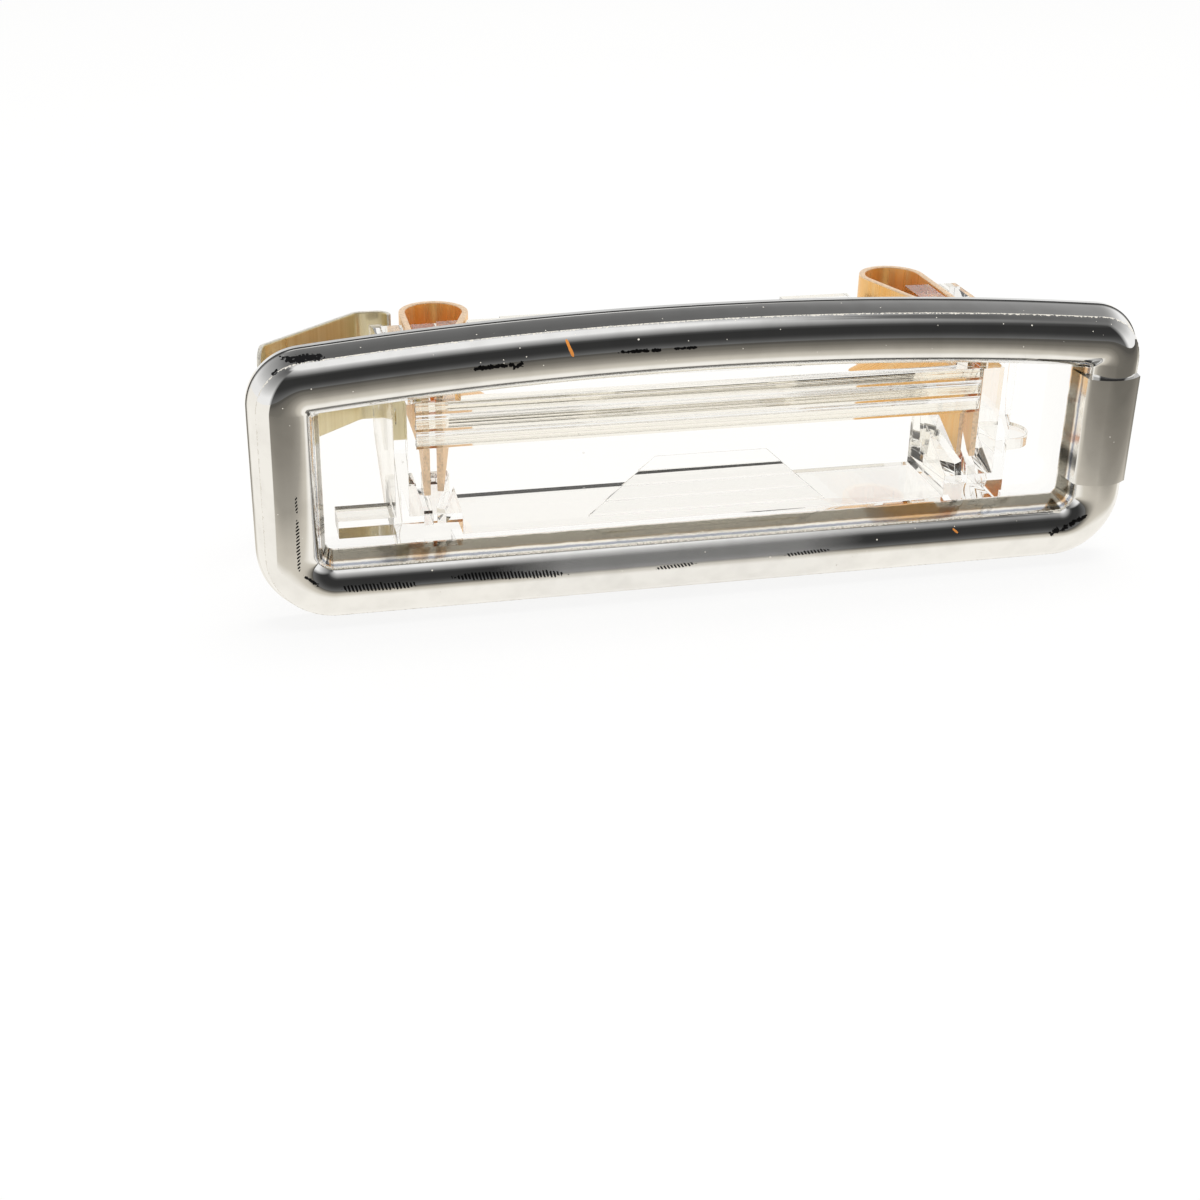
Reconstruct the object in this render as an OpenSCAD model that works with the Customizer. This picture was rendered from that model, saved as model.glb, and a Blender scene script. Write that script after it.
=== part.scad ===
// Number plate lamp: a bright bezel around a clear box, open at the back, that holds
// a tubular bulb between two looped contacts, with a spring clip at one end.
// X runs along the lamp, Y into the panel and Z up. The origin is the middle of the
// seat, the flat back of the bezel.

/* [Face] */
// Length of the bezel
face_l = 70; // [66:0.5:80]
// Height of the bezel at its straight ends
side_h = 20.9; // [20.5:0.1:24]
// Rise of the arched top edge above the ends
top_rise = 2; // [1.6:0.1:3]
// Radius of the upper corners
corner_top_r = 4.4; // [4.2:0.1:5]
// Radius of the lower corners
corner_bottom_r = 5.8; // [5.4:0.1:6.6]

/* [Bezel] */
// Width of the bezel bar at its back
bar_w = 5.2; // [5:0.1:5.6]
// Height of the sloping flanks
flank_h = 2.1; // [1.9:0.1:2.6]
// How far each flank leans inward
flank_in = 0.65; // [0.4:0.05:0.8]
// Rise of the rounded crown above the flanks
crown_rise = 1.1; // [0.9:0.05:1.3]
// Wall of the hollow bezel bar
bezel_wall = 1.1; // [0.9:0.05:1.2]
// Length of the raised bridge over the tool notch
bridge_l = 8.9; // [6:0.1:11]
// Height of the bridge above the crown
bridge_rise = 0.3; // [0.2:0.05:0.5]
// Length of the tool notch under the bridge
notch_l = 6; // [3:0.5:7]
// Height of the tool notch above the seat
notch_h = 0.9; // [0.6:0.1:1.2]

/* [Lens] */
// Thickness of the clear front pane
pane_t = 1.2; // [1:0.1:1.6]
// How far the pane reaches under the bezel lip and into its hollow
pane_lap = 2.1; // [1.9:0.05:2.2]
// Width of the locating rib that stands in the hollow of the bezel
key_w = 0.7; // [0.5:0.05:0.75]
// Height of the locating rib
key_h = 0.9; // [0.5:0.1:1.2]
// Number of long prisms behind the top of the pane
prism_count = 3; // [1:1:4]
// Pitch of the long prisms
prism_pitch = 1.35; // [0.8:0.05:1.6]
// Depth of the long prisms
prism_d = 0.75; // [0.4:0.05:0.8]
// How far the long prisms stop short of each end of the box
prism_short = 2.25; // [1.9:0.05:8]
// Height of the lowest long prism above the middle of the lamp
prism_z = 2; // [1.8:0.1:2.3]
// Number of steps in the stepped prism
step_count = 4; // [3:1:6]
// Height of each step
step_h = 1.17; // [0.8:0.01:1.2]
// Depth of each step
step_d = 0.25; // [0.2:0.05:0.9]
// Length of the stepped prism at its top
step_top_l = 9; // [6:0.5:12]
// Length of the stepped prism at its foot
step_foot_l = 19.4; // [14:0.1:24]
// Height of the top of the stepped prism
step_z = 0.1; // [-0.2:0.1:0.4]
// How far the stepped prism sits off the middle, towards the tongue
step_x = 0.4; // [0:0.1:1]

/* [Light box] */
// Thickness of the box walls
wall = 1; // [0.8:0.1:1.1]
// Distance between the outer faces of the end walls
box_l = 49.7; // [49:0.1:51]
// How far the box sits off the middle of the bezel, towards the tongue
box_mid = 0.55; // [0:0.05:1]
// Depth of the end walls behind the seat
box_d = 16; // [15.5:0.1:17]
// Depth of the floor behind the seat
floor_d = 9; // [8:0.1:10]
// Top of the floor, measured down from the middle of the lamp
floor_z = 5.25; // [5.1:0.05:5.5]
// Underside of the roof above the middle of the lamp
roof_z = 6.75; // [6.6:0.05:7]
// Depth of the roof behind the seat
roof_d = 13.5; // [13:0.1:14.5]
// Height of the post beside the left contact above the roof
post_left = 0.15; // [0.1:0.05:0.5]
// Height of the post beside the right contact above the roof
post_right = 1.25; // [0.1:0.05:1.4]
// Top of the left contact's saddle, measured down from the middle of the lamp
saddle_left = 3.1; // [2.6:0.1:3.3]
// Top of the right contact's saddle, measured down from the middle of the lamp
saddle_right = 0.2; // [0:0.1:1.6]
// Reach of the right lifting tab behind the roof
tab_reach = 1.8; // [1:0.1:2.5]

/* [Mounting] */
// Reach of the locating tongue beyond the end wall
tongue_reach = 3.1; // [2.4:0.1:4]
// Width of the locating tongue
tongue_w = 4.1; // [3:0.1:5]
// Thickness of the locating tongue
tongue_t = 1; // [0.8:0.1:1.4]
// Distance of the tongue behind the seat
tongue_y = 2.3; // [2:0.1:4]
// Top of the tongue, measured down from the middle of the lamp
tongue_z = 1; // [0:0.1:1.5]
// Length of the locating block at the clip end
block_l = 4.4; // [3:0.1:4.8]
// Height of the locating block
block_h = 1.4; // [1:0.1:1.8]
// Depth of the locating block behind the seat
block_d = 4.2; // [3:0.1:6]

/* [Contacts] */
// Thickness of the contact strip
contact_t = 0.5; // [0.4:0.05:0.6]
// Radius of the loop to the middle of the strip
loop_r = 2.55; // [2.3:0.05:2.7]
// Length of the outer leg, from its front end to the loop
leg_l = 13.2; // [12.6:0.1:13.8]
// Distance from the outer face of the end wall to the front end of the outer leg
leg_in = 2.55; // [2.45:0.05:2.7]
// Angle that the strip turns through at the loop
loop_turn = 198; // [194:0.5:199]
// Clearance around the legs in their slots
slot_fit = 0.1; // [0.05:0.01:0.15]
// How far the strip stands out of its slot
contact_proud = 0.15; // [0.05:0.05:0.5]
// Lower edge of the looped part
contact_low = 0.5; // [0:0.1:1]
// Lower tip of the legs, measured down from the middle of the lamp
leg_tip = 2.2; // [1.8:0.1:3]
// Bottom of the slots for the legs, measured down from the middle of the lamp
slot_low = 4.5; // [3.4:0.1:4.8]

/* [Spring clip] */
// Thickness of the clip strip
clip_t = 0.3; // [0.2:0.05:0.4]
// Height of the arm
clip_h = 9; // [7:0.1:9.2]
// Height of the inner leg
clip_leg_h = 5.2; // [4:0.1:5.4]
// Length of the sprung arm
arm_l = 10; // [8:0.1:11]
// Length of the lip at the end of the arm
lip_l = 1.2; // [0.8:0.1:5]
// Clearance between the clip and the end wall
clip_fit = 0.05; // [0.03:0.01:0.08]

/* [Hidden] */
$fn = 64;
arch_fn = 720;
// Neighbouring stretches of a strip or bar run into each other by this much
seam = 0.02;
half_l = face_l / 2;
half_h = side_h / 2;
arch_r = (half_l * half_l + top_rise * top_rise) / (2 * top_rise);
arch_z = half_h + top_rise - arch_r;
inner_min_r = 0.4;
top_cx = half_l - corner_top_r;
top_cz = arch_z + sqrt(pow(arch_r - corner_top_r, 2) - top_cx * top_cx);
bottom_cx = half_l - corner_bottom_r;
bottom_cz = corner_bottom_r - half_h;
arch_half = asin(top_cx / (arch_r - corner_top_r));
// Two points on the line where the arch runs into the right upper corner
seam_out = [top_cx, top_cz] + 2 * bar_w * [sin(arch_half), cos(arch_half)];
seam_in = [top_cx, top_cz] - bar_w / 2 * [sin(arch_half), cos(arch_half)];
bezel_h = flank_h + crown_rise;
face_mid_z = top_rise / 2;
floor_lift = -floor_z;
lip_edge = bar_w - bezel_wall;
pane_in = bar_w - pane_lap;
prism_l = box_l - 2 * prism_short;
box_half = box_l / 2;
box_low = -floor_z - wall;
box_top = roof_z + wall;
// Reach of a bay in from the end wall, and the length of its post
bay_l = 5.1;
post_l = 4.55;
// Lifting tabs: where each one starts, their length and the reach of the left one
tab_left_x = -14.5;
tab_right_x = 9.7;
tab_l = 6;
tab_left_reach = 0.5;
front_y = pane_t / 2;
leg_x = box_half - leg_in;
leg_y = pane_t + prism_d + 0.15;
leg_lean = 0.4;
saddle_d = floor_d;
saddle_front = 1.8;
tip_slope = 1.1;
bridge_d = 12.6;
bridge_under = 5.6;
clip_low = -1.2;
clip_leg_l = 6.3;
clip_leg_lean = 4;
clip_bend_r = 1;
clip_over_l = 1.2;
clip_front_y = box_d - clip_leg_l - 0.2;
boss_y = box_d - 4;
boss_z = 2;
boss_r = 0.7;
boss_h = 0.7;

function flip(point) = [-point[0], point[1]];

// Turns a shape drawn in the face plane so that its height points at the viewer
module in_face() {
    rotate([90, 0, 0]) children();
}

// Extrudes a profile drawn in Y and Z along X
module along_x(x_from, run) {
    translate([x_from, 0, 0]) rotate([90, 0, 90]) linear_extrude(run) children();
}

// Copies a shape to the other side of the middle
module both_sides() {
    children();
    mirror([1, 0, 0]) children();
}

// Outline of the face, set in from the bezel's outer edge, with rounded corners
module face_outline(inset) {
    top_r = max(corner_top_r - inset, inner_min_r);
    low_r = max(corner_bottom_r - inset, inner_min_r);
    half = half_l - inset;
    big_r = arch_r - inset;
    tx = half - top_r;
    tz = arch_z + sqrt(pow(big_r - top_r, 2) - tx * tx);
    bx = half - low_r;
    bz = inset - half_h + low_r;
    turn = asin(tx / (big_r - top_r));
    ax = big_r * sin(turn);
    az = arch_z + big_r * cos(turn);
    polygon([[-bx, bz - low_r], [bx, bz - low_r], [half, bz], [half, tz], [ax, az],
             [-ax, az], [-half, tz], [-half, bz]]);
    for (side = [-1, 1]) {
        translate([side * bx, bz]) circle(low_r);
        translate([side * tx, tz]) circle(top_r);
    }
    intersection() {
        translate([0, arch_z]) circle(big_r, $fn = arch_fn);
        translate([-ax, az - 0.5]) square([2 * ax, top_rise + 2]);
    }
}

// Section of the bezel bar: sloping flanks, a rounded crown and a hollow back.
// The first axis runs inward from the outer edge, the second towards the viewer.
module bar_section(lift = 0, lean = flank_in) {
    chord = bar_w - flank_in - lean;
    mid = flank_in + chord / 2;
    crown_r = (chord * chord / 4 + crown_rise * crown_rise) / (2 * crown_rise);
    shoulder = flank_h + lift;
    difference() {
        union() {
            polygon([[0, 0], [flank_in, shoulder], [bar_w - lean, shoulder], [bar_w, 0]]);
            intersection() {
                translate([mid, shoulder + crown_rise - crown_r]) circle(crown_r);
                translate([0, shoulder - 0.2]) square([bar_w, crown_rise + 1]);
                polygon([[flank_in, shoulder - 0.2], [flank_in, shoulder + crown_rise + 1],
                         [bar_w - lean, shoulder + crown_rise + 1], [bar_w - lean, shoulder - 0.2]]);
            }
        }
        bar_hollow();
    }
}

// Hollow at the back of the bar
module bar_hollow() {
    depth = flank_h - bezel_wall / 4;
    draft = flank_in * 0.6;
    polygon([[bezel_wall, -1], [bezel_wall, 0], [bezel_wall + draft, depth],
             [lip_edge - draft, depth], [lip_edge, 0], [lip_edge, -1]]);
}

// A straight length of bar along X, its outer edge on the X axis
module straight_bar(run) {
    rotate([90, 0, 90]) linear_extrude(run) bar_section();
}

// A full ring of bar round the origin, cut at the axis where the radius is small
module bar_ring(radius) {
    rotate_extrude() intersection() {
        translate([radius, 0]) mirror([1, 0]) bar_section();
        translate([0, -1]) square([radius + 1, bezel_h + 2]);
    }
}

// Keeps what stands on a flat outline in the face plane
module cut_to(outline) {
    intersection() {
        children();
        translate([0, 0, -1]) linear_extrude(bezel_h + 2) polygon(outline);
    }
}

// The bezel: one moulded ring, with a bridge over the tool notch at the tongue end
module bezel() {
    color("silver") difference() {
        in_face() union() {
            translate([-bottom_cx, -half_h, 0]) straight_bar(2 * bottom_cx);
            translate([half_l, bottom_cz, 0]) rotate([0, 0, 90]) straight_bar(top_cz - bottom_cz);
            translate([-half_l, top_cz, 0]) rotate([0, 0, -90]) straight_bar(top_cz - bottom_cz);
            both_sides() cut_to([[bottom_cx, bottom_cz], [bottom_cx, -half_l], [half_l + 1, -half_l],
                                 [half_l + 1, bottom_cz]])
                translate([bottom_cx, bottom_cz, 0]) bar_ring(corner_bottom_r);
            both_sides() cut_to([[top_cx, top_cz], [half_l + 1, top_cz], [half_l + 1, seam_out[1]],
                                 seam_out])
                translate([top_cx, top_cz, 0]) bar_ring(corner_top_r);
            cut_to([seam_in, [top_cx, top_cz], seam_out, flip(seam_out), [-top_cx, top_cz],
                    flip(seam_in)])
                translate([0, arch_z, 0]) bar_ring(arch_r, $fn = arch_fn);
            bridge();
        }
        translate([half_l - bezel_wall - 0.5, -notch_h, face_mid_z - notch_l / 2])
            cube([bezel_wall + 1, notch_h + 1, notch_l]);
    }
}

// The bridge: a taller, squarer length of the same bar
module bridge() {
    translate([half_l, face_mid_z - bridge_l / 2, 0]) rotate([0, 0, 90])
        rotate([90, 0, 90]) linear_extrude(bridge_l)
            bar_section(lift = bridge_rise, lean = flank_in / 4);
}

// A flat strip seen from above: runs and bends, one after another
module strip_path(path, thick, step = 0) {
    run = path[step][0];
    turn = path[step][1];
    radius = path[step][2];
    side = sign(turn);
    translate([-seam, -thick / 2]) square([run + 2 * seam, thick]);
    if (turn != 0)
        translate([run, side * radius])
            ring_sector(radius - thick / 2, radius + thick / 2,
                        side > 0 ? -90 : 90 + turn, side > 0 ? turn - 90 : 90);
    if (step + 1 < len(path))
        translate([run + radius * sin(abs(turn)), side * radius * (1 - cos(turn))])
            rotate(turn) strip_path(path, thick, step + 1);
}

// Part of a ring between two angles
module ring_sector(r_in, r_out, from, to) {
    reach = 2 * r_out;
    parts = ceil((to - from) / 50);
    intersection() {
        difference() {
            circle(r_out);
            circle(r_in);
        }
        polygon(concat([[0, 0]], [for (i = [0:parts])
            let (a = from + i * (to - from) / parts) reach * [cos(a), sin(a)]]));
    }
}

// Plan of the right contact: outer leg, loop at the back and inner leg
module contact_plan(thick, extra = 0) {
    inner_l = leg_l - 0.5;
    path = [[leg_l + extra, loop_turn, loop_r], [inner_l + extra, 0, 0]];
    translate([leg_x, leg_y]) rotate(90 + leg_lean) translate([-extra, 0])
        strip_path(path, thick);
}

// A looped contact strip between two heights, its legs cut to a tip at the front
module contact(top) {
    rise = (contact_low + leg_tip) / tip_slope;
    color("peru") intersection() {
        translate([0, 0, -leg_tip]) linear_extrude(top + leg_tip) contact_plan(contact_t);
        along_x(0, half_l)
            polygon([[leg_y - 1, -leg_tip], [leg_y + 0.2, -leg_tip], [leg_y + 0.2 + rise, contact_low],
                     [2 * box_d, contact_low], [2 * box_d, top], [leg_y - 1, top]]);
    }
}

module right_contact() {
    translate([box_mid, 0, 0]) contact(box_top + post_right + contact_proud);
}

module left_contact() {
    translate([box_mid, 0, 0]) mirror([1, 0, 0]) contact(box_top + post_left + contact_proud);
}

// The front pane, with a border under the bezel and a locating rib in its hollow
module pane() {
    in_face() union() {
        translate([0, 0, -pane_t]) linear_extrude(pane_t) face_outline(pane_in);
        linear_extrude(key_h) difference() {
            face_outline(pane_in);
            face_outline(pane_in + key_w);
        }
    }
}

// Long prisms behind the top of the pane, each one deepest at its foot
module long_prisms() {
    for (i = [0:prism_count - 1])
        along_x(-prism_l / 2, prism_l)
            polygon([[front_y, prism_z + i * prism_pitch],
                     [pane_t + prism_d, prism_z + i * prism_pitch],
                     [pane_t, prism_z + (i + 1) * prism_pitch],
                     [front_y, prism_z + (i + 1) * prism_pitch]]);
}

// Stepped prism that throws the light down, wider at each step
module stepped_prism() {
    for (i = [0:step_count - 1]) {
        top = step_z - i * step_h;
        foot = top - step_h;
        widen = (step_foot_l - step_top_l) / step_count;
        upper = (step_top_l + i * widen) / 2;
        lower = upper + widen / 2;
        intersection() {
            along_x(-lower, 2 * lower)
                polygon([[front_y, foot], [pane_t + step_d, foot],
                         [pane_t + step_d / 5, top], [front_y, top]]);
            in_face() translate([0, 0, -2 * pane_t - step_d]) linear_extrude(2 * pane_t + step_d)
                polygon([[-lower, foot], [lower, foot], [upper, top], [-upper, top]]);
        }
    }
}

// Side view of an end wall, cut back towards the floor
module end_profile() {
    polygon([[front_y, box_low], [floor_d, box_low], [box_d - 0.6, -tongue_z - tongue_t],
             [box_d, 0], [box_d, box_top - 0.8], [bridge_d, box_top], [front_y, box_top]]);
}

// Side view of the ribs that guide the contact legs, rising to the back
module saddle_profile(top) {
    polygon([[front_y, floor_lift - wall / 2], [front_y, floor_lift + saddle_front],
             [pane_t, floor_lift + saddle_front], [leg_y + 4.6, -top],
             [saddle_d, -top], [saddle_d, floor_lift - wall / 2]]);
}

// Bay at one end: end wall, guide ribs below and a bridge with a post above
module contact_bay(saddle, post_h) {
    bay_x = box_half - bay_l;
    along_x(box_half - wall, wall) end_profile();
    along_x(bay_x, bay_l - wall / 2) saddle_profile(saddle);
    translate([bay_x, front_y, bridge_under])
        cube([bay_l - wall / 2, bridge_d - front_y, box_top - bridge_under]);
    translate([bay_x, leg_y, bridge_under])
        cube([post_l, bridge_d - leg_y, box_top + post_h - bridge_under]);
}

// Slot that a contact's legs stand in
module contact_slot() {
    translate([0, 0, -slot_low]) linear_extrude(2 * box_top)
        contact_plan(contact_t + 2 * slot_fit, slot_fit);
}

// Roof between the bays
module roof() {
    half = box_half - bay_l;
    translate([-half, front_y, roof_z]) cube([2 * half, roof_d - front_y, wall]);
}

// The clear housing: pane, box and mounting features in one moulding
module lens_housing() {
    color("whitesmoke", 0.5) union() {
        pane();
        long_prisms();
        translate([step_x, 0, 0]) stepped_prism();
        translate([box_mid, 0, 0]) {
            translate([-box_half, front_y, box_low]) cube([box_l, floor_d - front_y, wall]);
            difference() {
                union() {
                    roof();
                    mirror([1, 0, 0]) contact_bay(saddle_left, post_left);
                    contact_bay(saddle_right, post_right);
                }
                both_sides() contact_slot();
            }
            lifting_tabs();
            tongue();
            locating_block();
            clip_boss();
        }
    }
}

// Two tabs behind the roof that a bulb change lifts the housing by
module lifting_tabs() {
    for (tab = [[tab_left_x, tab_left_reach], [tab_right_x, tab_reach]])
        translate([tab[0], roof_d - wall, roof_z]) cube([tab_l, tab[1] + wall, wall]);
}

// Tongue that slips behind the panel, rounded at its end
module tongue() {
    translate([box_half - wall / 2, tongue_y, -tongue_z - tongue_t]) linear_extrude(tongue_t) {
        square([tongue_reach + wall / 2 - tongue_w / 2, tongue_w]);
        translate([tongue_reach + wall / 2 - tongue_w / 2, tongue_w / 2]) circle(tongue_w / 2);
    }
}

// Block that centres the clip end in the panel opening
module locating_block() {
    translate([-box_half - block_l, front_y, floor_lift + 0.4])
        cube([block_l + wall / 2, block_d - front_y, block_h]);
}

// Boss on the end wall that the inner leg of the clip snaps over
module clip_boss() {
    translate([wall / 2 - box_half, boss_y, boss_z]) rotate([0, 90, 0])
        cylinder(r = boss_r, h = wall / 2 + boss_h);
}

// The spring clip: a leg inside the end wall, a bend over it, a sprung arm and a lip
module spring_clip() {
    path = [[clip_leg_l, 90 + clip_leg_lean, clip_bend_r], [clip_over_l, 42, 1],
            [arm_l, 31, 0.6], [lip_l, 0, 0]];
    leg_mid_x = box_mid - box_half + wall + clip_fit + clip_t / 2;
    color("darkkhaki") difference() {
        translate([leg_mid_x, clip_front_y, clip_low]) linear_extrude(clip_h)
            rotate(90 - clip_leg_lean) strip_path(path, clip_t);
        translate([leg_mid_x - clip_t, clip_front_y - 1, clip_low + clip_leg_h])
            cube([4 * clip_t, clip_leg_l, clip_h]);
        translate([leg_mid_x - wall, boss_y, boss_z]) rotate([0, 90, 0])
            cylinder(r = boss_r + slot_fit, h = 2 * wall);
    }
}

bezel();
lens_housing();
left_contact();
right_contact();
spring_clip();
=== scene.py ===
from math import pi, radians
import bmesh
import bpy
import numpy as np
from mathutils import Matrix


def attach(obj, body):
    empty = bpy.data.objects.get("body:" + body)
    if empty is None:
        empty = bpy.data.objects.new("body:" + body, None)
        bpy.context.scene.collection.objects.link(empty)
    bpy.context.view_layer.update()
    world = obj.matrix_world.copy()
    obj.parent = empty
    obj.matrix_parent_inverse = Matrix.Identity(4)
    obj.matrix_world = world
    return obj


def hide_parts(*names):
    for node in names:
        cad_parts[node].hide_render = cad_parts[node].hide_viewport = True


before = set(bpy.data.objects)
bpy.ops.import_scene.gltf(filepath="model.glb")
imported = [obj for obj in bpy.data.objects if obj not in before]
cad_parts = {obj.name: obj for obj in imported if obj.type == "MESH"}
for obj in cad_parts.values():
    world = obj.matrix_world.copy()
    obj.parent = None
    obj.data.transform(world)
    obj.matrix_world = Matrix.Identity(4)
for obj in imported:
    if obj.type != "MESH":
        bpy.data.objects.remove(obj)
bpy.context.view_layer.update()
scene = bpy.context.scene
mm = 0.001
print("number plate lamp: frame loaded")


# Makes a piece of a finished mesh: smooth but for its sharp edges, riding on the root body.
def addPiece(name, mesh, sharpFrom):
    mesh.polygons.foreach_set("use_smooth", np.ones(len(mesh.polygons), bool))
    mesh.update()
    mesh.set_sharp_from_angle(angle=radians(sharpFrom))
    piece = bpy.data.objects.new(name, mesh)
    scene.collection.objects.link(piece)
    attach(piece, "root")
    return piece


# Puts points (n x 3, millimetres) and faces into a new piece.
def meshPiece(name, points, faces, materials, sharpFrom, faceMaterial=None):
    mesh = bpy.data.meshes.new(name)
    mesh.from_pydata((points * mm).tolist(), [], faces)
    mesh.validate()
    for material in materials:
        mesh.materials.append(material)
    if faceMaterial is not None:
        mesh.polygons.foreach_set("material_index", faceMaterial.astype(np.int32))
    return addPiece(name, mesh, sharpFrom)


# Quads between neighbouring rows and columns of a grid of points, wrapping where closed.
def gridFaces(rows, columns, closeRows, closeColumns):
    r = np.arange(rows if closeRows else rows - 1)
    c = np.arange(columns if closeColumns else columns - 1)
    r, c = np.meshgrid(r, c, indexing="ij")
    r1, c1 = (r + 1) % rows, (c + 1) % columns
    quads = np.stack([r * columns + c, r * columns + c1, r1 * columns + c1, r1 * columns + c], -1)
    return quads.reshape(-1, 4)


# Turns the faces round if the volume they enclose, a sum of tetrahedra, comes out negative.
def outward(points, faces):
    a, b, c, d = (points[faces[:, i]] for i in range(4))
    volume = (np.cross(a, b) * c).sum() + (np.cross(a, c) * d).sum()
    return faces if volume > 0 else faces[:, ::-1]


# Gives a shader socket its value: a link where the value is another socket, else a constant.
def feed(socket, value):
    if isinstance(value, bpy.types.NodeSocket):
        socket.id_data.links.new(value, socket)
    elif value is not None:
        socket.default_value = (*value, 1) if socket.type == "RGBA" else value


# Adds a node with its settings, and feeds its inputs by name or number.
def addNode(nodes, kind, inputs=None, **settings):
    node = nodes.new(kind)
    for key, value in settings.items():
        setattr(node, key, value)
    for label, value in (inputs or {}).items():
        feed(node.inputs[label], value)
    return node


def nodesOf(owner):
    owner.use_nodes = True
    return owner.node_tree.nodes


# A material with its Principled shader, which stays in the material itself.
def newMaterial(name):
    material = bpy.data.materials.new(name)
    nodes = nodesOf(material)
    point = addNode(nodes, "ShaderNodeTexCoord").outputs["Object"]
    return material, nodes, nodes["Principled BSDF"], point


# An empty shader node group with named inputs (name, kind, value) and outputs (name, kind).
def newGroup(name, inputs, outputs):
    group = bpy.data.node_groups.new(name, "ShaderNodeTree")
    for label, kind, value in inputs:
        socket = group.interface.new_socket(label, in_out="INPUT", socket_type=kind)
        if value is not None:
            socket.default_value = value
    for label, kind in outputs:
        group.interface.new_socket(label, in_out="OUTPUT", socket_type=kind)
    start = addNode(group.nodes, "NodeGroupInput")
    end = addNode(group.nodes, "NodeGroupOutput")
    return group, group.nodes, start.outputs, end.inputs


# Places a node group over a point, with its own values.
def placeGroup(nodes, group, point, **values):
    return addNode(nodes, "ShaderNodeGroup", {"Point": point, **values}, node_tree=group).outputs


# A colour ramp over a factor, from (position, grey or colour) stops.
def ramp(nodes, factor, stops):
    node = addNode(nodes, "ShaderNodeValToRGB", {"Fac": factor})
    elements = node.color_ramp.elements
    elements.remove(elements[-1])
    for i, (position, colour) in enumerate(stops):
        element = elements[0] if i == 0 else elements.new(position)
        element.position = position
        grey = isinstance(colour, (int, float))
        element.color = (colour, colour, colour, 1) if grey else (*colour, 1)
    return node.outputs["Color"]


def maths(nodes, operation, first, second=None, third=None, clamp=False):
    inputs = {0: first, 1: second, 2: third}
    return addNode(nodes, "ShaderNodeMath", inputs, operation=operation, use_clamp=clamp).outputs[0]


# Lays one colour over another where the factor is 1.
def mix(nodes, factor, under, over):
    inputs = {"Factor": factor, "A": under, "B": over}
    return addNode(nodes, "ShaderNodeMix", inputs, data_type="RGBA").outputs["Result"]


def mixShaders(nodes, factor, first, second):
    return addNode(nodes, "ShaderNodeMixShader", {0: factor, 1: first, 2: second}).outputs[0]


# The X, Y and Z of a vector.
def axes(nodes, vector):
    return addNode(nodes, "ShaderNodeSeparateXYZ", {0: vector}).outputs


# Bumps a normal by a height; the distance is in millimetres.
def bump(nodes, height, strength, distance, normal=None):
    inputs = {"Strength": strength, "Distance": distance * mm, "Height": height, "Normal": normal}
    return addNode(nodes, "ShaderNodeBump", inputs).outputs["Normal"]


# Lays a tree's nodes out: a node's column is its longest way to the output, in links.
def layOut(tree):
    last = next(node for node in tree.nodes if "Output" in node.bl_idname)
    columns, rows, queue = {last.name: 0}, {}, [last]
    while queue:
        node = queue.pop()
        further = columns[node.name] + 1
        for before in (link.from_node for socket in node.inputs for link in socket.links):
            if columns.get(before.name, 0) < further:
                columns[before.name] = further
                queue.append(before)
    for node in tree.nodes:
        column = columns.get(node.name, 0)
        rows[column] = rows.get(column, 0) + 1
        node.location = (-220 * column, -260 * rows[column])


# Grain: two noises of the given sizes, over a point stretched by the scale, give two masks.
def makeGrainGroup():
    group, nodes, start, end = newGroup("surfaceGrain", [
        ("Point", "NodeSocketVector", None), ("Stretch", "NodeSocketVector", (1, 1, 1)),
        ("Fine", "NodeSocketFloat", 3000.0), ("Coarse", "NodeSocketFloat", 300.0)],
        [("Fine Grain", "NodeSocketFloat"), ("Broad Cloud", "NodeSocketFloat")])
    inputs = {"Vector": start["Point"], "Scale": start["Stretch"]}
    stretched = addNode(nodes, "ShaderNodeMapping", inputs).outputs["Vector"]
    for label, source, detail in (("Fine Grain", "Fine", 3), ("Broad Cloud", "Coarse", 2)):
        inputs = {"Vector": stretched, "Scale": start[source], "Detail": detail}
        feed(end[label], addNode(nodes, "ShaderNodeTexNoise", inputs).outputs["Fac"])
    return group


# Specks: a cell of a Voronoi pattern holds a speck round its centre, of the given size in
# cells, where the cell's own random red is under the share.
def makeSpeckGroup():
    group, nodes, start, end = newGroup("dustSpecks", [
        ("Point", "NodeSocketVector", None), ("Density", "NodeSocketFloat", 600.0),
        ("Size", "NodeSocketFloat", 0.12), ("Share", "NodeSocketFloat", 0.3)],
        [("Mask", "NodeSocketFloat")])
    inputs = {"Vector": start["Point"], "Scale": start["Density"]}
    cells = addNode(nodes, "ShaderNodeTexVoronoi", inputs).outputs
    near = maths(nodes, "LESS_THAN", cells["Distance"], start["Size"])
    red = addNode(nodes, "ShaderNodeSeparateColor", {"Color": cells["Color"]}).outputs["Red"]
    chosen = maths(nodes, "LESS_THAN", red, start["Share"])
    feed(end["Mask"], maths(nodes, "MULTIPLY", near, chosen))
    return group


markShape = dict(endPower=5.0, reach=0.8, edgeNoise=3200, strokes=23000.0, slant=2.2, spine=0.25)


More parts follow.
